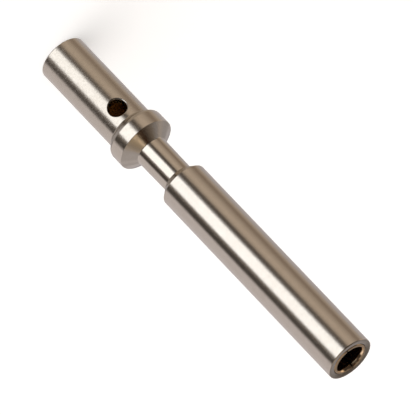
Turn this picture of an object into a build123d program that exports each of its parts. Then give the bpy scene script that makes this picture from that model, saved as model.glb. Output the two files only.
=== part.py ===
from build123d import *
import math
import os

# Socket crimp contact, in millimetres. It stands on the rear face of its crimp barrel with the
# mouth up, so every height is measured from that face along +Z, which is the turning axis.
# The inspection hole faces +X, and the slot between the two tines runs along X.

# Crimp barrel
barrel_diameter = 2.62
barrel_length = 5.76
barrel_edge_break = 0.04
wire_bore_diameter = 1.70
wire_bore_depth = 6.35
wire_bore_lip = 0.10
inspection_hole_diameter = 1.04
inspection_hole_height = 4.91
inspection_hole_edge_break = 0.05

# Collar, with its flared and rounded rear and its coned front face
collar_diameter = 3.22
collar_length = 0.87
collar_rear_radius = 0.30
collar_edge_break = 0.04
flare_angle = 45.0
flare_root_radius = 0.10
collar_face_angle = 34.0
neck_root_radius = 0.05

# Neck between the collar and the hood, a little thicker at the collar
neck_rear_diameter = 1.76
neck_front_diameter = 1.71
neck_length = 2.229

# Hood, a sleeve whose rear end is rolled in behind the shoulder of the body
hood_diameter = 2.62
hood_wall = 0.305
hood_length = 13.77
hood_taper_angle = 45.0
hood_neck_clearance = 0.02
hood_edge_break = 0.05

# Socket end of the body inside the hood
seat_length = 2.60
tine_clearance = 0.03
tine_recess = 0.01
tine_edge_break = 0.04
pin_bore_diameter = 1.60
pin_bore_depth = 8.50
pin_bore_lip = 0.09

# Saw cut between the tines, which all but closes at the tips because they are set inward
slot_root_width = 0.30
slot_tip_width = 0.08
slot_length = 7.60

# Point angle of the drills that leave the bottoms of both bores
drill_point_angle = 118.0

# Radii
barrel_radius = barrel_diameter / 2
wire_bore_radius = wire_bore_diameter / 2
collar_radius = collar_diameter / 2
neck_rear_radius = neck_rear_diameter / 2
neck_front_radius = neck_front_diameter / 2
hood_radius = hood_diameter / 2
hood_bore_radius = hood_radius - hood_wall
rolled_edge_radius = neck_front_radius + hood_neck_clearance
tine_radius = hood_bore_radius - tine_clearance
pin_bore_radius = pin_bore_diameter / 2


def rise(radial_step, angle):
    """Axial length of a cone that spans a radial step at an angle from the axis."""
    return radial_step / math.tan(math.radians(angle))


# Heights, from the rear face to the mouth
collar_rear = barrel_length + rise(collar_radius - barrel_radius, flare_angle)
collar_front = collar_rear + collar_length
neck_rear = collar_front + rise(collar_radius - neck_rear_radius, 90 - collar_face_angle)
hood_rear = neck_rear + neck_length
hood_knee = hood_rear + rise(hood_radius - rolled_edge_radius, hood_taper_angle)
hood_front = hood_rear + hood_length

# The inside of the rolled end lies one wall behind its outside, and the shoulder fills it
bore_knee = hood_knee + hood_wall * math.tan(math.radians(hood_taper_angle / 2))
shoulder_rear = bore_knee - rise(hood_bore_radius - neck_front_radius, hood_taper_angle)
rolled_edge_front = bore_knee - rise(hood_bore_radius - rolled_edge_radius, hood_taper_angle)
seat_front = bore_knee + seat_length
tine_tip = hood_front - tine_recess


def corner(profile, radius, height):
    """Vertex of a section that lies nearest to a radius and a height."""
    return profile.vertices().sort_by_distance((radius, height, 0))[0]


def turned(profile):
    """Solid turned about Z from a section drawn with its radius along X and its height along Y."""
    return revolve(Plane.XZ * profile, Axis.Z)


def body_blank():
    """Outside of the contact body as it comes off the lathe, before it is drilled."""
    section = make_face(
        Polyline(
            (0, 0),
            (barrel_radius, 0),
            (barrel_radius, barrel_length),
            (collar_radius, collar_rear),
            (collar_radius, collar_front),
            (neck_rear_radius, neck_rear),
            (neck_front_radius, shoulder_rear),
            (hood_bore_radius, bore_knee),
            (hood_bore_radius, seat_front),
            (tine_radius, seat_front),
            (tine_radius, tine_tip),
            (0, tine_tip),
            close=True,
        )
    )
    section = chamfer(corner(section, barrel_radius, 0), barrel_edge_break)
    section = chamfer(corner(section, collar_radius, collar_front), collar_edge_break)
    section = chamfer(corner(section, tine_radius, tine_tip), tine_edge_break)
    section = fillet(corner(section, barrel_radius, barrel_length), flare_root_radius)
    section = fillet(corner(section, collar_radius, collar_rear), collar_rear_radius)
    section = fillet(corner(section, neck_rear_radius, neck_rear), neck_root_radius)
    return turned(section)


def drilled_bore(radius, depth, lip):
    """Tool body of a blind bore that enters at height 0 and runs up, with a rounded lip and a drill point."""
    point = rise(radius, drill_point_angle / 2)
    section = make_face(
        Polyline(
            (0, -lip),
            (radius + 2 * lip, -lip),
            (radius + 2 * lip, 0),
            (radius, 0),
            (radius, depth),
            (0, depth + point),
            close=True,
        )
    )
    return turned(fillet(corner(section, radius, 0), lip))


def wire_bore():
    """Bore that takes the stripped wire, from the rear face up into the collar."""
    return drilled_bore(wire_bore_radius, wire_bore_depth, wire_bore_lip)


def pin_bore():
    """Bore that takes the mating pin, from the tips of the tines down."""
    return Pos(0, 0, tine_tip) * Rot(180, 0, 0) * drilled_bore(pin_bore_radius, pin_bore_depth, pin_bore_lip)


def inspection_hole():
    """Cross hole through one wall of the crimp barrel, where the end of the wire is seen."""
    drill = Cylinder(
        inspection_hole_diameter / 2,
        barrel_diameter,
        align=(Align.CENTER, Align.CENTER, Align.MIN),
    )
    return Pos(0, 0, inspection_hole_height) * Rot(0, 90, 0) * drill


def tine_slot():
    """Saw cut across the pin bore that parts the two tines and narrows towards their tips."""
    outline = make_face(
        Polyline(
            (-slot_root_width / 2, tine_tip - slot_length),
            (slot_root_width / 2, tine_tip - slot_length),
            (slot_tip_width / 2, tine_tip),
            (-slot_tip_width / 2, tine_tip),
            close=True,
        )
    )
    return extrude(Plane.YZ * outline, hood_radius, both=True)


def contact_body():
    """Turned one-piece body: crimp barrel, collar, neck, shoulder and the two tines."""
    body = body_blank() - wire_bore() - pin_bore() - inspection_hole() - tine_slot()
    rim_place = (barrel_radius, 0, inspection_hole_height)
    rim = body.edges().filter_by(GeomType.BSPLINE).sort_by_distance(rim_place)[0]
    return fillet(rim, inspection_hole_edge_break)


def hood():
    """Sleeve over the tines, open at the mouth and rolled in to the neck at its rear."""
    section = make_face(
        Polyline(
            (rolled_edge_radius, hood_rear),
            (hood_radius, hood_knee),
            (hood_radius, hood_front),
            (hood_bore_radius, hood_front),
            (hood_bore_radius, bore_knee),
            (rolled_edge_radius, rolled_edge_front),
            close=True,
        )
    )
    section = chamfer(corner(section, hood_radius, hood_front), hood_edge_break)
    return turned(section)


os.makedirs("parts", exist_ok=True)
for name, make in {"contact_body": contact_body, "hood": hood}.items():
    export_step(make(), f"parts/{name}.step")
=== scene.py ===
"""Studio picture of a socket crimp contact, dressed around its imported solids.

The contact stands on the rear face of its crimp barrel with the mouth up, and +Z is its turning axis.
Lengths are in metres, apart from names that end in _mm and the sizes of the turned pieces, which are in mm.
"""
import logging
import math
from dataclasses import dataclass
from enum import Enum
from typing import Any

import bmesh
import bpy
from mathutils import Matrix, Vector


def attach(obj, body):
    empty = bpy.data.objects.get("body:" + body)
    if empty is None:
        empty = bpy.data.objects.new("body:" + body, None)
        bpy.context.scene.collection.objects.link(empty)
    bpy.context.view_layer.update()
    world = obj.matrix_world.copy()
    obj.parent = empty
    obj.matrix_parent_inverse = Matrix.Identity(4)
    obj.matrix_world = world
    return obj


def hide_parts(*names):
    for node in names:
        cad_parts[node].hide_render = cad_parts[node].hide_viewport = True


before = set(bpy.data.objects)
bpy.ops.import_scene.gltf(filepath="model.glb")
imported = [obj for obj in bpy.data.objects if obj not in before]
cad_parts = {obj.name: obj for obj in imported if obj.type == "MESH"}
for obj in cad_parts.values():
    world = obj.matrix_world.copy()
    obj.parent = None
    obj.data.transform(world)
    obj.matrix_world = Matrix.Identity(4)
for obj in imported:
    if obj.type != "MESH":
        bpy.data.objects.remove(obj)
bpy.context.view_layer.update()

LOG = logging.getLogger("crimp_contact")
MM = 0.001
BODY = "root"


class Lay(Enum):
    """How the marks of a tool run over a turned piece."""

    AROUND = "around the turning axis"
    EVEN = "the same in every direction"


def linear(hex_colour: str) -> tuple[float, float, float, float]:
    """Turns an sRGB hex colour into the linear values that the shaders take.

    Args:
        hex_colour: Colour as #RRGGBB.

    Returns:
        Linear red, green and blue, with an alpha of 1.
    """
    parts = [int(hex_colour[start:start + 2], 16) / 255 for start in (1, 3, 5)]
    red, green, blue = (
        part / 12.92 if part <= 0.04045 else ((part + 0.055) / 1.055) ** 2.4 for part in parts
    )
    return red, green, blue, 1.0


WHITE = linear("#FFFFFF")


def add_node(
    tree: bpy.types.NodeTree,
    kind: str,
    settings: dict[str, Any] | None = None,
    inputs: dict[str | int, Any] | None = None,
) -> bpy.types.Node:
    """Adds a node with its settings, values and links.

    Args:
        tree: Node tree that takes the node.
        kind: Blender's name of the node type.
        settings: Properties of the node and their values.
        inputs: Input names or numbers, each with a value or with the output socket that feeds it.

    Returns:
        The new node.
    """
    node = tree.nodes.new(kind)
    for name, value in (settings or {}).items():
        setattr(node, name, value)
    for key, value in (inputs or {}).items():
        if isinstance(value, bpy.types.NodeSocket):
            tree.links.new(value, node.inputs[key])
        else:
            node.inputs[key].default_value = value
    return node


@dataclass(frozen=True)
class Marks:
    """Marks that a tool leaves: their spacing, their length and their depth.

    Real turning and drawing marks lie 0.01 to 0.02 mm apart, far under a pixel. They are drawn 0.06 to
    0.13 mm apart, as coarse as the picture needs to show them.
    """

    spacing_mm: float
    length_mm: float
    depth_mm: float
    lay: Lay

    def height(
        self, tree: bpy.types.NodeTree, place: bpy.types.NodeSocket, seed: float
    ) -> bpy.types.NodeSocket:
        """Adds the nodes that give the height of the marks.

        Args:
            tree: Node tree of the material.
            place: Place on the piece in metres.
            seed: Shift that keeps two sets of marks apart.

        Returns:
            Output socket with a height from 0 to 1.
        """
        across = 1 / (self.length_mm * MM if self.lay is Lay.AROUND else self.spacing_mm * MM)
        along = 1 / (self.spacing_mm * MM)
        scaled = add_node(
            tree, "ShaderNodeMapping", inputs={0: place, 1: (seed, seed, seed), 3: (across, across, along)}
        ).outputs[0]
        return add_node(
            tree,
            "ShaderNodeTexNoise",
            inputs={"Vector": scaled, "Scale": 1.0, "Detail": 2.0, "Roughness": 0.6},
        ).outputs[0]


@dataclass(frozen=True)
class MetalFinish:
    """A bare or plated metal surface with tool marks, matt flecks, handling film, and grime with painted
    shade in its corners.

    The colours are the clean metal, the same metal under a thin film, what multiplies it in tight corners as
    grime and painted shade, and the thinly plated metal in the pin bore (bore) and in the wire bore
    (deep_bore), where a darker colour also stands for painted shade of the deep hole. Roughness is that of
    polished metal; it grows by worn_roughness from one height to the other, where handling dulled the piece.
    The grime and painted shade fade between two shares of open air, and flecks grow between two values of
    their noise. Streaks in what the metal mirrors lie streak_turn of a full turn from the turning marks.
    """

    name: str
    clean: str
    filmed: str
    corner_grime_and_shade: str
    bore: str
    deep_bore: str
    roughness: float
    roughness_spread: float
    marks: tuple[Marks, ...]
    edge_radius_mm: float
    anisotropy: float
    shade_reach_mm: float = 0.25
    shade_air: tuple[float, float] = (0.15, 0.6)
    film_patch_mm: float = 0.45
    bore_mask_radius_mm: float = 0.999
    neck_middle_mm: float = 9.5
    neck_half_mm: float = 2.5
    worn_from_mm: float = 5.9
    worn_to_mm: float = 5.2
    worn_roughness: float = 0.055
    fleck_mm: float = 0.11
    fleck_from_radius_mm: float = 1.295
    fleck_noise: tuple[float, float] = (0.46, 0.68)
    fleck_roughness: float = 0.09
    streak_turn: float = 0.25
    first_seed: float = 1.3
    seed_step: float = 3.7
    corner_samples: int = 6

    def material(self) -> bpy.types.Material:
        """Builds the material of the finish.

        Returns:
            Material with its node tree.
        """
        material = bpy.data.materials.new(self.name)
        material.use_nodes = True
        tree = material.node_tree
        tree.nodes.clear()
        place = add_node(tree, "ShaderNodeTexCoord").outputs["Object"]
        film = self._film(tree, place)
        colour = self._colour(tree, place, film)
        height = add_node(tree, "ShaderNodeSeparateXYZ", inputs={0: place}).outputs[2]
        worn = add_node(
            tree,
            "ShaderNodeMapRange",
            inputs={
                0: height,
                1: self.worn_from_mm * MM,
                2: self.worn_to_mm * MM,
                3: 0.0,
                4: self.worn_roughness,
            },
        ).outputs[0]
        even = add_node(
            tree,
            "ShaderNodeMapRange",
            inputs={
                0: film,
                3: self.roughness - self.roughness_spread / 2,
                4: self.roughness + self.roughness_spread / 2,
            },
        ).outputs[0]
        polish = add_node(tree, "ShaderNodeMath", {"operation": "ADD"}, {0: even, 1: worn}).outputs[0]
        roughness = add_node(
            tree, "ShaderNodeMath", {"operation": "ADD"}, {0: polish, 1: self._flecks(tree, place)}
        ).outputs[0]
        tangent = add_node(tree, "ShaderNodeTangent", {"direction_type": "RADIAL", "axis": "Z"}).outputs[0]
        shader = add_node(
            tree,
            "ShaderNodeBsdfPrincipled",
            inputs={
                "Base Color": colour,
                "Metallic": 1.0,
                "Roughness": roughness,
                "Anisotropic": self.anisotropy,
                "Anisotropic Rotation": self.streak_turn,
                "Tangent": tangent,
                "Normal": self._normal(tree, place),
            },
        )
        add_node(tree, "ShaderNodeOutputMaterial", inputs={"Surface": shader.outputs[0]})
        return material

    def _film(self, tree: bpy.types.NodeTree, place: bpy.types.NodeSocket) -> bpy.types.NodeSocket:
        """Adds the soft patches of handling film, a few tenths of a millimetre across.

        Args:
            tree: Node tree of the material.
            place: Place on the piece in metres.

        Returns:
            Output socket with the strength of the film, from 0 to 1.
        """
        return add_node(
            tree,
            "ShaderNodeTexNoise",
            inputs={"Vector": place, "Scale": 1 / (self.film_patch_mm * MM), "Detail": 4.0, "Roughness": 0.6},
        ).outputs[0]

    @staticmethod
    def _radius(tree: bpy.types.NodeTree, place: bpy.types.NodeSocket) -> bpy.types.NodeSocket:
        """Adds the distance from the turning axis.

        Args:
            tree: Node tree of the material.
            place: Place on the piece in metres.

        Returns:
            Output socket with the distance in metres.
        """
        axes = add_node(tree, "ShaderNodeSeparateXYZ", inputs={0: place}).outputs
        flat = add_node(tree, "ShaderNodeCombineXYZ", inputs={0: axes[0], 1: axes[1]}).outputs[0]
        return add_node(tree, "ShaderNodeVectorMath", {"operation": "LENGTH"}, {0: flat}).outputs["Value"]

    def _flecks(self, tree: bpy.types.NodeTree, place: bpy.types.NodeSocket) -> bpy.types.NodeSocket:
        """Adds the fine matt flecks of the outside, which show light where the metal mirrors something dark.

        Args:
            tree: Node tree of the material.
            place: Place on the piece in metres.

        Returns:
            Output socket with the roughness that the flecks add.
        """
        noise = add_node(
            tree,
            "ShaderNodeTexNoise",
            inputs={"Vector": place, "Scale": 1 / (self.fleck_mm * MM), "Detail": 2.0, "Roughness": 0.7},
        ).outputs[0]
        outside = add_node(
            tree,
            "ShaderNodeMath",
            {"operation": "GREATER_THAN"},
            {0: self._radius(tree, place), 1: self.fleck_from_radius_mm * MM},
        ).outputs[0]
        spots = add_node(tree, "ShaderNodeMath", {"operation": "MULTIPLY"}, {0: noise, 1: outside}).outputs[0]
        start, full = self.fleck_noise
        return add_node(
            tree, "ShaderNodeMapRange", inputs={0: spots, 1: start, 2: full, 3: 0.0, 4: self.fleck_roughness}
        ).outputs[0]

    def _colour(
        self, tree: bpy.types.NodeTree, place: bpy.types.NodeSocket, film: bpy.types.NodeSocket
    ) -> bpy.types.NodeSocket:
        """Adds the colour: clean metal, film, grime and painted shade at the roots of corners, and the thin
        plating in the bores, with painted shade darkening the wire bore.

        Args:
            tree: Node tree of the material.
            place: Place on the piece in metres.
            film: Strength of the film, from 0 to 1.

        Returns:
            Output socket with the colour.
        """
        patches = add_node(
            tree,
            "ShaderNodeMix",
            {"data_type": "RGBA"},
            {0: film, 6: linear(self.clean), 7: linear(self.filmed)},
        ).outputs[2]
        height = add_node(tree, "ShaderNodeSeparateXYZ", inputs={0: place}).outputs[2]
        # Painted shade: the wire bore in the rear half takes the darker deep_bore colour, which darkens the
        # deep hole on top of its thin plating.
        rear_half = add_node(
            tree, "ShaderNodeMath", {"operation": "LESS_THAN"}, {0: height, 1: self.neck_middle_mm * MM}
        ).outputs[0]
        bores = add_node(
            tree,
            "ShaderNodeMix",
            {"data_type": "RGBA"},
            {0: rear_half, 6: linear(self.bore), 7: linear(self.deep_bore)},
        ).outputs[2]
        metal = add_node(
            tree, "ShaderNodeMix", {"data_type": "RGBA"}, {0: self._bores(tree, place), 6: patches, 7: bores}
        ).outputs[2]
        # Painted shade together with grime: occlusion darkens the colour in tight corners.
        open_air = add_node(
            tree,
            "ShaderNodeAmbientOcclusion",
            {"samples": self.corner_samples},
            {"Distance": self.shade_reach_mm * MM},
        ).outputs["AO"]
        shut, clear = self.shade_air
        unshaded_share = add_node(tree, "ShaderNodeMapRange", inputs={0: open_air, 1: shut, 2: clear}).outputs[0]
        shaded_and_stained = add_node(
            tree,
            "ShaderNodeMix",
            {"data_type": "RGBA", "blend_type": "MULTIPLY"},
            {0: 1.0, 6: metal, 7: linear(self.corner_grime_and_shade)},
        ).outputs[2]
        return add_node(
            tree, "ShaderNodeMix", {"data_type": "RGBA"}, {0: unshaded_share, 6: shaded_and_stained, 7: metal}
        ).outputs[2]

    def _bores(self, tree: bpy.types.NodeTree, place: bpy.types.NodeSocket) -> bpy.types.NodeSocket:
        """Adds the mask of the bores, where the plating is thin: near the axis, away from the neck.

        Args:
            tree: Node tree of the material.
            place: Place on the piece in metres.

        Returns:
            Output socket that is 1 in the bores and on the tips of the tines.
        """
        height = add_node(tree, "ShaderNodeSeparateXYZ", inputs={0: place}).outputs[2]
        near_axis = add_node(
            tree,
            "ShaderNodeMath",
            {"operation": "LESS_THAN"},
            {0: self._radius(tree, place), 1: self.bore_mask_radius_mm * MM},
        ).outputs[0]
        from_neck = add_node(
            tree, "ShaderNodeMath", {"operation": "SUBTRACT"}, {0: height, 1: self.neck_middle_mm * MM}
        ).outputs[0]
        distance = add_node(tree, "ShaderNodeMath", {"operation": "ABSOLUTE"}, {0: from_neck}).outputs[0]
        away = add_node(
            tree, "ShaderNodeMath", {"operation": "GREATER_THAN"}, {0: distance, 1: self.neck_half_mm * MM}
        ).outputs[0]
        return add_node(tree, "ShaderNodeMath", {"operation": "MULTIPLY"}, {0: near_axis, 1: away}).outputs[0]

    def _normal(self, tree: bpy.types.NodeTree, place: bpy.types.NodeSocket) -> bpy.types.NodeSocket:
        """Adds the relief of the tool marks over edges that are slightly rounded.

        Args:
            tree: Node tree of the material.
            place: Place on the piece in metres.

        Returns:
            Output socket with the normal.
        """
        normal = add_node(
            tree, "ShaderNodeBevel", {"samples": self.corner_samples}, {0: self.edge_radius_mm * MM}
        ).outputs[0]
        for number, marks in enumerate(self.marks):
            seed = self.first_seed + self.seed_step * number
            normal = add_node(
                tree,
                "ShaderNodeBump",
                inputs={
                    "Strength": 1.0,
                    "Distance": marks.depth_mm * MM,
                    "Height": marks.height(tree, place, seed),
                    "Normal": normal,
                },
            ).outputs[0]
        return normal


@dataclass
class PhotoCamera:
    """Camera at the photograph's viewing angle, fitted to the outline of the contact."""

    azimuth_deg: float = 10.664
    elevation_deg: float = 26.438
    roll_deg: float = -136.392
    distance: float = 0.326891
    aim: tuple[float, float, float] = (0.0000136, -0.0000721, 0.0119027)
    frame_px: int = 415
    focal_px: float = 6500.0
    sensor_mm: float = 36.0
    clip_factor: float = 10.0

    def build(self) -> bpy.types.Object:
        """Makes the camera and gives it to the scene.

        Returns:
            The camera object.
        """
        azimuth = math.radians(self.azimuth_deg)
        elevation = math.radians(self.elevation_deg)
        roll = math.radians(self.roll_deg)
        level_back = Vector((math.cos(azimuth), math.sin(azimuth), 0))
        back = level_back * math.cos(elevation) + Vector((0, 0, math.sin(elevation)))
        level_right = Vector((0, 0, 1)).cross(back).normalized()
        level_up = back.cross(level_right)
        up = level_up * math.cos(roll) + level_right * math.sin(roll)
        right = up.cross(back)
        data = bpy.data.cameras.new("camera")
        data.sensor_width = self.sensor_mm
        data.lens = self.focal_px / self.frame_px * self.sensor_mm
        data.clip_start = self.distance / self.clip_factor
        data.clip_end = self.distance * self.clip_factor
        camera = bpy.data.objects.new("camera", data)
        place = Vector(self.aim) + back * self.distance
        turn = Matrix((right, up, back)).transposed().to_4x4()
        camera.matrix_world = Matrix.Translation(place) @ turn
        bpy.context.scene.collection.objects.link(camera)
        bpy.context.scene.camera = camera
        return camera


class Tint(Enum):
    """Colour casts of the cloths and flags of the tent, as linear shares of the level of a stop."""

    LAMP = (0.98, 1.00, 1.05)
    CLOTH = (1.03, 0.96, 0.98)
    FLAG = (1.15, 0.98, 0.87)
    SAND = (1.19, 0.99, 0.82)
    WOOD = (1.26, 0.98, 0.78)
    GOLD = (1.25, 0.98, 0.70)
    RUST = (1.60, 0.76, 0.38)


@dataclass(frozen=True)
class Stop:
    """Light of the tent at one place; between two stops it runs evenly from one to the other."""

    place: float
    level: float
    tint: Tint


@dataclass
class Studio:
    """White floor, soft lamp and a tent of pale cloths and dark flags that the metal mirrors.

    The wall of the tent, the shelf above it and the brow above that are given by the angle in degrees round
    the turning axis, counted from the camera's azimuth and positive to the camera's upper right. The roof,
    its front part and the pit below are given by how far a direction leans that way. Shelf, brow, roof and
    pit each take over between two heights of a direction, and the front part of the roof between two shares
    of facing the camera's azimuth.
    """

    floor_half: float = 0.6
    floor_white: str = "#F4F3F1"
    floor_glow: float = 0.45
    lamp_place: tuple[float, float, float] = (0.03, 0.06, 0.30)
    lamp_width: float = 0.22
    lamp_watts: float = 0.55
    tent_strength: float = 2.1
    tent_azimuth_deg: float = PhotoCamera.azimuth_deg
    shelf_heights: tuple[float, float] = (0.02, 0.14)
    brow_heights: tuple[float, float] = (0.41, 0.47)
    roof_heights: tuple[float, float] = (0.60, 0.70)
    pit_heights: tuple[float, float] = (-0.54, -0.66)
    front_shares: tuple[float, float] = (0.22, 0.36)
    wall: tuple[Stop, ...] = (
        Stop(-180, 0.36, Tint.CLOTH),
        Stop(-152, 0.68, Tint.CLOTH),
        Stop(-83, 0.69, Tint.CLOTH),
        Stop(-72, 0.06, Tint.FLAG),
        Stop(-58, 0.06, Tint.FLAG),
        Stop(-47.5, 0.19, Tint.FLAG),
        Stop(-42.8, 0.38, Tint.CLOTH),
        Stop(-37.3, 1.76, Tint.LAMP),
        Stop(4.5, 1.76, Tint.LAMP),
        Stop(9, 0.70, Tint.LAMP),
        Stop(14, 0.26, Tint.CLOTH),
        Stop(20, 0.085, Tint.FLAG),
        Stop(27, 0.090, Tint.FLAG),
        Stop(40, 0.47, Tint.SAND),
        Stop(54, 0.52, Tint.SAND),
        Stop(72, 0.41, Tint.SAND),
        Stop(88, 0.25, Tint.WOOD),
        Stop(98, 0.24, Tint.WOOD),
        Stop(112, 0.42, Tint.SAND),
        Stop(130, 0.50, Tint.CLOTH),
        Stop(155, 0.54, Tint.CLOTH),
        Stop(180, 0.36, Tint.CLOTH),
    )
    shelf: tuple[Stop, ...] = (
        Stop(-180, 0.34, Tint.CLOTH),
        Stop(-153, 0.46, Tint.CLOTH),
        Stop(-140, 0.57, Tint.CLOTH),
        Stop(-130, 0.58, Tint.CLOTH),
        Stop(-108, 1.00, Tint.CLOTH),
        Stop(-90, 1.00, Tint.CLOTH),
        Stop(-78, 0.04, Tint.FLAG),
        Stop(-42, 0.04, Tint.FLAG),
        Stop(-36, 0.24, Tint.LAMP),
        Stop(3, 0.24, Tint.LAMP),
        Stop(9, 0.04, Tint.FLAG),
        Stop(92, 0.04, Tint.FLAG),
        Stop(102, 0.85, Tint.SAND),
        Stop(118, 0.75, Tint.SAND),
        Stop(129, 0.40, Tint.CLOTH),
        Stop(155, 0.37, Tint.CLOTH),
        Stop(180, 0.34, Tint.CLOTH),
    )
    brow: tuple[Stop, ...] = (
        Stop(-180, 0.08, Tint.SAND),
        Stop(-160, 0.10, Tint.SAND),
        Stop(-140, 0.48, Tint.CLOTH),
        Stop(-90, 0.49, Tint.CLOTH),
        Stop(-78, 0.04, Tint.FLAG),
        Stop(92, 0.04, Tint.FLAG),
        Stop(102, 0.45, Tint.SAND),
        Stop(140, 0.40, Tint.CLOTH),
        Stop(160, 0.10, Tint.SAND),
        Stop(180, 0.08, Tint.SAND),
    )
    roof: tuple[Stop, ...] = (
        Stop(-1.0, 0.48, Tint.CLOTH),
        Stop(-0.61, 0.49, Tint.CLOTH),
        Stop(-0.57, 0.42, Tint.CLOTH),
        Stop(-0.52, 0.41, Tint.SAND),
        Stop(-0.47, 0.31, Tint.SAND),
        Stop(-0.42, 0.275, Tint.SAND),
        Stop(-0.28, 0.32, Tint.GOLD),
        Stop(-0.18, 0.38, Tint.GOLD),
        Stop(-0.10, 0.72, Tint.GOLD),
        Stop(-0.04, 0.52, Tint.GOLD),
        Stop(0.02, 0.25, Tint.GOLD),
        Stop(0.08, 0.030, Tint.RUST),
        Stop(0.20, 0.026, Tint.RUST),
        Stop(0.33, 0.065, Tint.WOOD),
        Stop(0.45, 0.12, Tint.WOOD),
        Stop(0.54, 0.17, Tint.SAND),
        Stop(0.64, 0.31, Tint.CLOTH),
        Stop(1.0, 0.38, Tint.CLOTH),
    )
    front: tuple[Stop, ...] = (
        Stop(-1.0, 0.60, Tint.CLOTH),
        Stop(-0.62, 0.40, Tint.CLOTH),
        Stop(-0.52, 0.03, Tint.RUST),
        Stop(-0.34, 0.03, Tint.RUST),
        Stop(-0.26, 0.14, Tint.LAMP),
        Stop(-0.16, 0.14, Tint.LAMP),
        Stop(-0.08, 0.03, Tint.RUST),
        Stop(1.0, 0.05, Tint.FLAG),
    )
    pit: tuple[Stop, ...] = (
        Stop(-1.0, 0.42, Tint.CLOTH),
        Stop(-0.16, 0.38, Tint.CLOTH),
        Stop(-0.10, 0.22, Tint.FLAG),
        Stop(-0.03, 0.12, Tint.FLAG),
        Stop(0.04, 0.13, Tint.FLAG),
        Stop(0.10, 0.24, Tint.FLAG),
        Stop(0.16, 0.32, Tint.SAND),
        Stop(1.0, 0.38, Tint.SAND),
    )

    def build(self) -> list[bpy.types.Object]:
        """Makes the floor, the lamp and the world.

        Returns:
            The objects of the stage.
        """
        self._world()
        scene = bpy.context.scene
        scene.view_settings.view_transform = "Standard"
        return [self._floor(), self._lamp()]

    def _floor(self) -> bpy.types.Object:
        """Makes the matt white floor. Mirrored rays pass it by, so the metal shows the tent.

        Returns:
            The floor object.
        """
        half = self.floor_half
        mesh = bpy.data.meshes.new("floor")
        mesh.from_pydata(
            [(-half, -half, 0), (half, -half, 0), (half, half, 0), (-half, half, 0)], [], [(0, 1, 2, 3)]
        )
        floor = bpy.data.objects.new("floor", mesh)
        bpy.context.scene.collection.objects.link(floor)
        floor.visible_glossy = False
        floor.visible_shadow = False
        # Uncoated white paper: it gives an even white with no sheen, and only a soft shadow of the contact.
        material = bpy.data.materials.new("matt_white_studio_paper")
        material.use_nodes = True
        tree = material.node_tree
        tree.nodes.clear()
        paper = add_node(
            tree, "ShaderNodeBsdfDiffuse", inputs={"Color": linear(self.floor_white), "Roughness": 1.0}
        ).outputs[0]
        camera_ray = add_node(tree, "ShaderNodeLightPath").outputs["Is Camera Ray"]
        glow = add_node(
            tree, "ShaderNodeMath", {"operation": "MULTIPLY"}, {0: camera_ray, 1: self.floor_glow}
        ).outputs[0]
        lit = add_node(tree, "ShaderNodeEmission", inputs={"Color": WHITE, "Strength": glow}).outputs[0]
        surface = add_node(tree, "ShaderNodeAddShader", inputs={0: paper, 1: lit}).outputs[0]
        add_node(tree, "ShaderNodeOutputMaterial", inputs={"Surface": surface})
        mesh.materials.append(material)
        return floor

    def _lamp(self) -> bpy.types.Object:
        """Makes the soft lamp that gives the floor its light and the contact its shadow.

        Returns:
            The lamp object.
        """
        data = bpy.data.lights.new("softbox", "AREA")
        data.shape = "DISK"
        data.size = self.lamp_width
        data.energy = self.lamp_watts
        lamp = bpy.data.objects.new("softbox", data)
        lamp.location = self.lamp_place
        lamp.rotation_euler = Vector(lamp.location).to_track_quat("Z", "Y").to_euler()
        lamp.visible_glossy = False
        bpy.context.scene.collection.objects.link(lamp)
        return lamp

    def _cloth(
        self, tree: bpy.types.NodeTree, place: bpy.types.NodeSocket, stops: tuple[Stop, ...], reach: float
    ) -> bpy.types.NodeSocket:
        """Adds one cloth of the tent.

        Args:
            tree: Node tree of the world.
            place: Place along the cloth, from -reach to reach.
            stops: Stops of the cloth in order.
            reach: Value of the place at the last stop.

        Returns:
            Output socket with the light of the cloth over the tent's strength.
        """
        along = add_node(
            tree, "ShaderNodeMapRange", inputs={0: place, 1: -reach, 2: reach, 3: 0.0, 4: 1.0}
        ).outputs[0]
        node = add_node(tree, "ShaderNodeValToRGB", inputs={0: along})
        elements = node.color_ramp.elements
        # A ramp comes with its two end elements.
        for stop in stops[1:-1]:
            elements.new(0.5 + stop.place / stops[-1].place / 2)
        for element, stop in zip(elements, stops):
            element.color = (*(stop.level * part / self.tent_strength for part in stop.tint.value), 1.0)
        return node.outputs[0]

    @staticmethod
    def _take_over(
        tree: bpy.types.NodeTree,
        place: bpy.types.NodeSocket,
        edges: tuple[float, float],
        light: bpy.types.NodeSocket,
        layer: bpy.types.NodeSocket,
    ) -> bpy.types.NodeSocket:
        """Adds the change from one cloth of the tent to the next.

        Args:
            tree: Node tree of the world.
            place: What decides between the two.
            edges: Where the next cloth begins and where it has taken over.
            light: Light of the cloth so far.
            layer: Light of the next cloth.

        Returns:
            Output socket with the light of both.
        """
        start, end = edges
        share = add_node(tree, "ShaderNodeMapRange", inputs={0: place, 1: start, 2: end}).outputs[0]
        return add_node(
            tree, "ShaderNodeMix", {"data_type": "RGBA"}, {0: share, 6: light, 7: layer}
        ).outputs[2]

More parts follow.
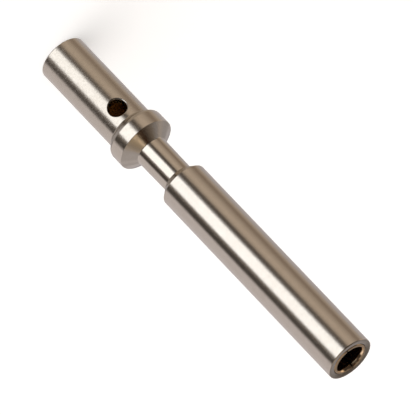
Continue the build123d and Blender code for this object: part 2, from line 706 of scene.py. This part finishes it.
    def _world(self) -> None:
        """Makes the world: the tent for the light on the part, plain white behind the floor."""
        world = bpy.data.worlds.new("light_tent")
        bpy.context.scene.world = world
        world.use_nodes = True
        tree = world.node_tree
        tree.nodes.clear()
        direction = add_node(tree, "ShaderNodeTexCoord").outputs["Generated"]
        turned = add_node(
            tree,
            "ShaderNodeVectorRotate",
            {"rotation_type": "Z_AXIS"},
            {"Vector": direction, "Angle": math.radians(-self.tent_azimuth_deg)},
        ).outputs[0]
        axes = add_node(tree, "ShaderNodeSeparateXYZ", inputs={0: turned}).outputs
        lean = add_node(tree, "ShaderNodeMath", {"operation": "MULTIPLY"}, {0: axes[1], 1: -1.0}).outputs[0]
        angle = add_node(tree, "ShaderNodeMath", {"operation": "ARCTAN2"}, {0: lean, 1: axes[0]}).outputs[0]
        light = self._cloth(tree, angle, self.wall, math.pi)
        roof = self._take_over(
            tree,
            axes[0],
            self.front_shares,
            self._cloth(tree, lean, self.roof, 1.0),
            self._cloth(tree, lean, self.front, 1.0),
        )
        layers = (
            (self.shelf_heights, self._cloth(tree, angle, self.shelf, math.pi)),
            (self.brow_heights, self._cloth(tree, angle, self.brow, math.pi)),
            (self.roof_heights, roof),
            (self.pit_heights, self._cloth(tree, lean, self.pit, 1.0)),
        )
        for heights, layer in layers:
            light = self._take_over(tree, axes[2], heights, light, layer)
        tent = add_node(
            tree, "ShaderNodeBackground", inputs={"Color": light, "Strength": self.tent_strength}
        ).outputs[0]
        white = add_node(tree, "ShaderNodeBackground", inputs={"Color": WHITE, "Strength": 1.0}).outputs[0]
        camera_ray = add_node(tree, "ShaderNodeLightPath").outputs["Is Camera Ray"]
        surface = add_node(tree, "ShaderNodeMixShader", inputs={0: camera_ray, 1: tent, 2: white}).outputs[0]
        add_node(tree, "ShaderNodeOutputWorld", inputs={"Surface": surface})


def rise(radial_step: float, angle_deg: float) -> float:
    """Gives the height of a cone that spans a radial step at an angle from the axis."""
    return radial_step / math.tan(math.radians(angle_deg))


@dataclass(frozen=True)
class Sizes:
    """Sizes in mm that both pieces follow, and the heights above the rear face that they lead to."""

    barrel_radius: float = 1.31
    barrel_length: float = 5.76
    flare_deg: float = 45.0
    collar_radius: float = 1.61
    collar_length: float = 0.87
    collar_face_deg: float = 34.0
    neck_rear_radius: float = 0.88
    neck_front_radius: float = 0.855
    neck_length: float = 2.229
    hood_radius: float = 1.31
    hood_wall: float = 0.305
    hood_length: float = 13.77
    hood_taper_deg: float = 45.0
    hood_neck_clearance: float = 0.02

    @property
    def collar_rear(self) -> float:
        """Height where the flare reaches the collar."""
        return self.barrel_length + rise(self.collar_radius - self.barrel_radius, self.flare_deg)

    @property
    def collar_front(self) -> float:
        """Height where the coned face of the collar begins."""
        return self.collar_rear + self.collar_length

    @property
    def neck_rear(self) -> float:
        """Height where the coned face meets the neck."""
        return self.collar_front + rise(self.collar_radius - self.neck_rear_radius, 90 - self.collar_face_deg)

    @property
    def hood_rear(self) -> float:
        """Height of the rolled edge at the rear of the hood."""
        return self.neck_rear + self.neck_length

    @property
    def hood_front(self) -> float:
        """Height of the ring round the mouth."""
        return self.hood_rear + self.hood_length

    @property
    def hood_bore_radius(self) -> float:
        """Radius of the bore of the hood, which the seat of the body fills."""
        return self.hood_radius - self.hood_wall

    @property
    def rolled_radius(self) -> float:
        """Radius of the rolled edge, which clears the neck."""
        return self.neck_front_radius + self.hood_neck_clearance

    @property
    def hood_knee(self) -> float:
        """Height where the rolled end of the hood turns into its cylinder, outside."""
        return self.hood_rear + rise(self.hood_radius - self.rolled_radius, self.hood_taper_deg)

    @property
    def bore_knee(self) -> float:
        """Height where the rolled end turns into the cylinder inside, one wall behind the outside."""
        return self.hood_knee + self.hood_wall * math.tan(math.radians(self.hood_taper_deg / 2))


@dataclass(frozen=True)
class Corner:
    """Corner of a turned section in mm: its radius, its height and the radius that rounds it."""

    radius: float
    height: float
    rounding: float = 0.0


@dataclass
class TurnedPiece:
    """Base of the pieces that come off the lathe.

    A point of a section lies on the axis when its radius is at most on_axis, which is in metres. Faces that
    meet at less than sharp_deg are shaded as one surface, and flat_weight is how much large faces lead it.
    """

    sizes: Sizes = Sizes()
    segments: int = 256
    arc_steps: int = 6
    on_axis: float = 1e-9
    sharp_deg: float = 32.0
    flat_weight: int = 60

    def outline(self, corners: list[Corner]) -> list[tuple[float, float]]:
        """Rounds the corners of a section.

        Args:
            corners: Corners in order, in mm.

        Returns:
            Points of the section as radius and height in metres.
        """
        points: list[tuple[float, float]] = []
        for number, corner in enumerate(corners):
            here = Vector((corner.radius, corner.height))
            if not corner.rounding:
                points.append((here.x * MM, here.y * MM))
                continue
            before = corners[number - 1]
            after = corners[(number + 1) % len(corners)]
            back = (Vector((before.radius, before.height)) - here).normalized()
            on = (Vector((after.radius, after.height)) - here).normalized()
            half = back.angle(on) / 2
            centre = here + (back + on).normalized() * corner.rounding / math.sin(half)
            first = here + back * corner.rounding / math.tan(half) - centre
            last = here + on * corner.rounding / math.tan(half) - centre
            for step in range(self.arc_steps + 1):
                spoke = first.lerp(last, step / self.arc_steps).normalized() * corner.rounding
                points.append(((centre + spoke).x * MM, (centre + spoke).y * MM))
        return points

    def turn(self, name: str, corners: list[Corner], closed: bool) -> bpy.types.Object:
        """Turns a section about Z into a closed mesh.

        Args:
            name: Name of the piece.
            corners: Corners of the section in order, in mm.
            closed: True if the section closes on itself, False if it runs from axis to axis.

        Returns:
            The new object.
        """
        shape = bmesh.new()
        rings: list[list[bmesh.types.BMVert]] = []
        for radius, height in self.outline(corners):
            count = self.segments if radius > self.on_axis else 1
            turns = [math.tau * i / count for i in range(count)]
            rings.append([
                shape.verts.new((radius * math.cos(turn), radius * math.sin(turn), height)) for turn in turns
            ])
        pairs = list(zip(rings, rings[1:]))
        if closed:
            pairs.append((rings[-1], rings[0]))
        for low, high in pairs:
            for i in range(self.segments):
                j = (i + 1) % self.segments
                # A ring on the axis is a single point, so its faces have three corners.
                around = (low[i % len(low)], low[j % len(low)], high[j % len(high)], high[i % len(high)])
                shape.faces.new(list(dict.fromkeys(around)))
        bmesh.ops.recalc_face_normals(shape, faces=shape.faces)
        return self._object(name, shape)

    @staticmethod
    def _object(name: str, shape: bmesh.types.BMesh) -> bpy.types.Object:
        """Puts a shape into a new object of the scene.

        Args:
            name: Name of the object.
            shape: Shape, which is freed.

        Returns:
            The new object.
        """
        mesh = bpy.data.meshes.new(name)
        shape.to_mesh(mesh)
        shape.free()
        piece = bpy.data.objects.new(name, mesh)
        bpy.context.scene.collection.objects.link(piece)
        return piece

    @staticmethod
    def bake_modifiers(piece: bpy.types.Object) -> None:
        """Turns the modifiers of a piece into its mesh.

        Args:
            piece: Object whose modifiers are applied.
        """
        view = bpy.context.evaluated_depsgraph_get()
        mesh = bpy.data.meshes.new_from_object(piece.evaluated_get(view), depsgraph=view)
        old = piece.data
        piece.modifiers.clear()
        piece.data = mesh
        bpy.data.meshes.remove(old)
        mesh.name = piece.name

    def cut(self, piece: bpy.types.Object, tools: list[bpy.types.Object]) -> None:
        """Cuts tool bodies out of a piece and removes the tools.

        Args:
            piece: Piece that is cut.
            tools: Closed bodies that are taken away from it.
        """
        for tool in tools:
            modifier = piece.modifiers.new("cut", "BOOLEAN")
            modifier.operation = "DIFFERENCE"
            modifier.solver = "EXACT"
            modifier.object = tool
        self.bake_modifiers(piece)
        for tool in tools:
            mesh = tool.data
            bpy.data.objects.remove(tool)
            bpy.data.meshes.remove(mesh)

    def smooth(self, piece: bpy.types.Object) -> None:
        """Shades a piece smoothly up to its sharp edges, with flats that stay flat.

        Args:
            piece: Piece to shade.
        """
        mesh = piece.data
        for face in mesh.polygons:
            face.use_smooth = True
        mesh.set_sharp_from_angle(angle=math.radians(self.sharp_deg))
        modifier = piece.modifiers.new("flats", "WEIGHTED_NORMAL")
        modifier.keep_sharp = True
        modifier.weight = self.flat_weight
        self.bake_modifiers(piece)
        self._true_cylinders(piece.data)

    @staticmethod
    def _true_cylinders(mesh: bpy.types.Mesh, slack: float = 4e-7, upright: float = 0.01) -> None:
        """Points the normals of every cylinder straight away from the axis, also beside holes cut into it.

        Args:
            mesh: Mesh that is shaded smoothly.
            slack: Largest spread of the radii of one face, in metres.
            upright: Largest height of the normal of a face that counts as upright.
        """
        normals = [Vector(normal.vector) for normal in mesh.corner_normals]
        for face in mesh.polygons:
            spokes = [Vector((*mesh.vertices[index].co.xy, 0.0)) for index in face.vertices]
            radii = [spoke.length for spoke in spokes]
            if abs(face.normal.z) > upright or max(radii) - min(radii) > slack:
                continue
            side = 1.0 if spokes[0].dot(face.normal) > 0 else -1.0
            for corner, spoke in zip(face.loop_indices, spokes):
                normals[corner] = spoke.normalized() * side
        mesh.normals_split_custom_set(normals)

    @staticmethod
    def fit(piece: bpy.types.Object, node: str, slot: str, finish: MetalFinish) -> bpy.types.Object:
        """Gives a piece its finish and puts it in the place of its solid.

        Args:
            piece: Finished piece.
            node: Solid that it stands for.
            slot: Material slot of the record; not used.
            finish: Finish of the piece.

        Returns:
            The piece.
        """
        piece.data.materials.clear()
        piece.data.materials.append(finish.material())
        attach(piece, BODY)
        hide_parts(node)
        return piece


@dataclass
class ContactBody(TurnedPiece):
    """Turned one-piece body: crimp barrel, collar, neck, seat and the two tines. Sizes are in mm."""

    rear_edge: float = 0.04
    wire_bore_radius: float = 0.85
    wire_bore_depth: float = 6.35
    wire_bore_lip: float = 0.10
    # The rim of the inspection hole is uneven in the photograph: all but sharp on its near side and broken
    # wide on its far side. The solids carry the mean of it, 0.05 mm round a hole 0.52 mm in radius.
    hole_radius: float = 0.505
    hole_height: float = 4.91
    hole_edge_near: float = 0.02
    hole_edge_far: float = 0.12
    hole_segments: int = 128
    flare_root: float = 0.10
    collar_rear_rounding: float = 0.30
    collar_edge: float = 0.025
    neck_root: float = 0.05
    seat_length: float = 2.60
    tine_clearance: float = 0.03
    tine_recess: float = 0.01
    tine_edge: float = 0.04
    pin_bore_radius: float = 0.80
    pin_bore_depth: float = 8.50
    # The tips dip towards the bore. Its lip is a short curve that ends in a crisp edge and lies a little off
    # centre, as the photograph shows it. The solids have a plain centred round there.
    tip_dish: float = 0.004
    lip_shift: float = 0.045
    lip_shift_towards_deg: float = 190.7
    lead_in_depth: float = 0.15
    lead_in_radius: float = 0.268
    lead_in_steps: int = 8
    slot_root_width: float = 0.30
    slot_tip_width: float = 0.08
    slot_length: float = 7.60
    drill_half_point_deg: float = 59.0

    @property
    def tine_radius(self) -> float:
        """Radius of the tines, which clear the bore of the hood."""
        return self.sizes.hood_bore_radius - self.tine_clearance

    @property
    def tine_tip(self) -> float:
        """Height of the tips of the tines, just behind the ring of the hood."""
        return self.sizes.hood_front - self.tine_recess

    def build(self) -> bpy.types.Object:
        """Turns the body, drills the inspection hole, saws the slot and plates it.

        Returns:
            The body.
        """
        piece = self.turn("plated_contact_body", self._section(), closed=False)
        self._shift_lip(piece)
        self.cut(piece, [self._drill(), self._saw()])
        self.smooth(piece)
        # Barrel-plated bright nickel over a turned surface. It mirrors broad soft bands, crisp but a little
        # blurred; tumbling in the plating barrel leaves matt flecks that mottle the dark bands, and the
        # copper alloy shows golden where the plating runs thin, in the bores.
        finish = MetalFinish(
            name="bright_nickel_over_turned_copper_alloy",
            clean="#D3CCC0",
            filmed="#CBC2B4",
            # This colour darkens tight corners as grime and painted shade.
            corner_grime_and_shade="#6E5F50",
            bore="#E1C5A0",
            # Painted shade: the wire bore's colour is darker than the pin bore's, to darken the deep hole,
            # besides its thin plating.
            deep_bore="#BFA881",
            roughness=0.155,
            roughness_spread=0.05,
            marks=(
                Marks(spacing_mm=0.075, length_mm=0.9, depth_mm=0.00035, lay=Lay.AROUND),
                Marks(spacing_mm=0.12, length_mm=0.12, depth_mm=0.0028, lay=Lay.EVEN),
            ),
            edge_radius_mm=0.015,
            anisotropy=0.3,
        )
        return self.fit(piece, "contact_body", "nickel_plated_copper_alloy", finish)

    def _section(self) -> list[Corner]:
        """Gives the section from the bottom of the wire bore round to the bottom of the pin bore.

        Returns:
            Corners of the section in mm.
        """
        sizes = self.sizes
        seat_radius, seat_rear = sizes.hood_bore_radius, sizes.bore_knee
        shoulder_rear = seat_rear - rise(seat_radius - sizes.neck_front_radius, sizes.hood_taper_deg)
        seat_front = seat_rear + self.seat_length
        wire_point = self.wire_bore_depth + rise(self.wire_bore_radius, self.drill_half_point_deg)
        pin_floor = self.tine_tip - self.pin_bore_depth
        pin_point = pin_floor - rise(self.pin_bore_radius, self.drill_half_point_deg)
        return [
            Corner(0, wire_point),
            Corner(self.wire_bore_radius, self.wire_bore_depth),
            Corner(self.wire_bore_radius, 0, self.wire_bore_lip),
            Corner(sizes.barrel_radius, 0, self.rear_edge),
            Corner(sizes.barrel_radius, sizes.barrel_length, self.flare_root),
            Corner(sizes.collar_radius, sizes.collar_rear, self.collar_rear_rounding),
            Corner(sizes.collar_radius, sizes.collar_front, self.collar_edge),
            Corner(sizes.neck_rear_radius, sizes.neck_rear, self.neck_root),
            Corner(sizes.neck_front_radius, shoulder_rear),
            Corner(seat_radius, seat_rear),
            Corner(seat_radius, seat_front),
            Corner(self.tine_radius, seat_front),
            Corner(self.tine_radius, self.tine_tip + self.tip_dish, self.tine_edge),
            *self._lead_in(),
            Corner(self.pin_bore_radius, pin_floor),
            Corner(0, pin_point),
        ]

    def _lead_in(self) -> list[Corner]:
        """Gives the curved lead-in of the pin bore, from the tips of the tines down to the straight wall.

        Returns:
            Corners of the lead-in in mm, which ends in a crisp edge at the tips.
        """
        end = math.asin(self.lead_in_depth / self.lead_in_radius)
        turns = [end * step / self.lead_in_steps for step in range(self.lead_in_steps, -1, -1)]
        return [
            Corner(
                self.pin_bore_radius + self.lead_in_radius * (1 - math.cos(turn)),
                self.tine_tip - self.lead_in_depth + self.lead_in_radius * math.sin(turn),
            )
            for turn in turns
        ]

    def _shift_lip(self, piece: bpy.types.Object) -> None:
        """Moves the lip of the pin bore off centre, by more and more towards the tips.

        Args:
            piece: The turned body before it is cut.
        """
        start = self.tine_tip - self.lead_in_depth
        turn = math.radians(self.lip_shift_towards_deg)
        shift = Vector((math.cos(turn), math.sin(turn), 0)) * self.lip_shift * MM
        rim_radius = (self.pin_bore_radius + self.tine_radius) / 2
        for vert in piece.data.vertices:
            share = (vert.co.z / MM - start) / self.lead_in_depth
            if share > 0 and vert.co.xy.length / MM < rim_radius:
                vert.co += shift * share

    def _drill(self) -> bpy.types.Object:
        """Makes the tool body of the inspection hole, with a flare that rounds the rim all the way.

        The flare follows a quarter round up to 75 degrees and leaves the barrel along a last short slope.

        Returns:
            The tool body, which runs along +X.
        """
        tool_start, tool_end = 0.3, 2.0
        slope_rise, slope_width = 0.012, 0.03
        stations: list[tuple[float, float, float]] = []
        for turn_deg in range(0, 76, 15):
            turn = math.radians(turn_deg)
            stations.append((1 - math.cos(turn), 1 - math.sin(turn), 0.0))
        stations.append((*stations[-1][:2], 1.0))
        shape = bmesh.new()
        rings: list[list[bmesh.types.BMVert]] = [[] for _ in range(len(stations) + 2)]
        for i in range(self.hole_segments):
            turn = math.tau * i / self.hole_segments
            sine, cosine = math.sin(turn), math.cos(turn)
            far_share = (1 - sine) / 2
            edge = self.hole_edge_near + (self.hole_edge_far - self.hole_edge_near) * far_share
            path: list[tuple[float, float | None]] = [
                (self.hole_radius + edge * wider + slope_width * sloped, edge * deeper - slope_rise * sloped)
                for wider, deeper, sloped in stations
            ]
            path = [(self.hole_radius, None), *path, (path[-1][0], None)]
            for number, (radius, depth) in enumerate(path):
                across, up = radius * sine, radius * cosine
                reach = tool_end if number else tool_start
                if depth is not None:
                    reach = math.sqrt(self.sizes.barrel_radius ** 2 - across ** 2) - depth
                rings[number].append(
                    shape.verts.new((reach * MM, across * MM, (self.hole_height + up) * MM))
                )
        for low, high in zip(rings, rings[1:]):
            for i in range(self.hole_segments):
                j = (i + 1) % self.hole_segments
                shape.faces.new((low[i], low[j], high[j], high[i]))
        shape.faces.new(rings[0])
        shape.faces.new(rings[-1])
        bmesh.ops.recalc_face_normals(shape, faces=shape.faces)
        return self._object("drill", shape)

    def _saw(self) -> bpy.types.Object:
        """Makes the tool body of the slot between the tines, which narrows towards their tips.

        Returns:
            The tool body.
        """
        reach, above = 2 * self.tine_radius, 0.5
        narrowing = (self.slot_root_width - self.slot_tip_width) / 2 / self.slot_length
        root = (self.slot_root_width / 2, self.tine_tip - self.slot_length)
        top = (self.slot_tip_width / 2 - narrowing * above, self.tine_tip + above)
        shape = bmesh.new()
        bmesh.ops.create_cube(shape, size=2.0)
        for vert in shape.verts:
            half, height = top if vert.co.z > 0 else root
            vert.co = (vert.co.x * reach * MM, vert.co.y * half * MM, height * MM)
        return self._object("saw", shape)


@dataclass
class Hood(TurnedPiece):
    """Sleeve over the tines, open at the mouth and rolled in to the neck at its rear. Sizes are in mm."""

    outer_edge: float = 0.045
    inner_edge: float = 0.015
    # The ring round the mouth dips towards its bore, so its far half turns darker than its near half.
    ring_dish: float = 0.02
    rear_edge: float = 0.02
    knee_rounding: float = 0.03

    def build(self) -> bpy.types.Object:
        """Turns the hood and gives it its steel.

        Returns:
            The hood.
        """
        piece = self.turn("steel_hood", self._section(), closed=True)
        self.smooth(piece)
        # Drawn and polished steel tube. It mirrors the same bands more evenly and with fewer flecks, a shade
        # greyer than the nickel, and turns slightly duller towards the mouth, where pins and fingers rub it.
        finish = MetalFinish(
            name="drawn_and_polished_stainless_steel",
            clean="#D2CBC0",
            filmed="#CAC1B4",
            # This colour darkens tight corners as grime and painted shade.
            corner_grime_and_shade="#6A5D50",
            bore="#C2B8A8",
            deep_bore="#C2B8A8",
            roughness=0.16,
            roughness_spread=0.04,
            worn_from_mm=14.0,
            worn_to_mm=20.0,
            worn_roughness=0.035,
            fleck_roughness=0.05,
            marks=(
                Marks(spacing_mm=0.06, length_mm=1.2, depth_mm=0.0003, lay=Lay.AROUND),
                Marks(spacing_mm=0.13, length_mm=0.13, depth_mm=0.0020, lay=Lay.EVEN),
            ),
            edge_radius_mm=0.015,
            anisotropy=0.3,
        )
        return self.fit(piece, "hood", "hood_steel", finish)

    def _section(self) -> list[Corner]:
        """Gives the closed section of the sleeve.

        Returns:
            Corners of the section in mm.
        """
        sizes = self.sizes
        bore_radius = sizes.hood_bore_radius
        rolled_front = sizes.bore_knee - rise(bore_radius - sizes.rolled_radius, sizes.hood_taper_deg)
        return [
            Corner(sizes.rolled_radius, sizes.hood_rear, self.rear_edge),
            Corner(sizes.hood_radius, sizes.hood_knee, self.knee_rounding),
            Corner(sizes.hood_radius, sizes.hood_front, self.outer_edge),
            Corner(bore_radius, sizes.hood_front - self.ring_dish, self.inner_edge),
            Corner(bore_radius, sizes.bore_knee),
            Corner(sizes.rolled_radius, rolled_front),
        ]


def main() -> None:
    """Builds the camera, the studio and the two pieces in order, and reports each one."""
    logging.basicConfig(level=logging.INFO)
    LOG.info("camera: %s", PhotoCamera().build().name)
    for item in Studio().build():
        LOG.info("stage: %s", item.name)
    for part in (ContactBody(), Hood()):
        piece = part.build()
        LOG.info("piece: %s, %d faces", piece.name, len(piece.data.polygons))


if __name__ == "__main__":
    main()
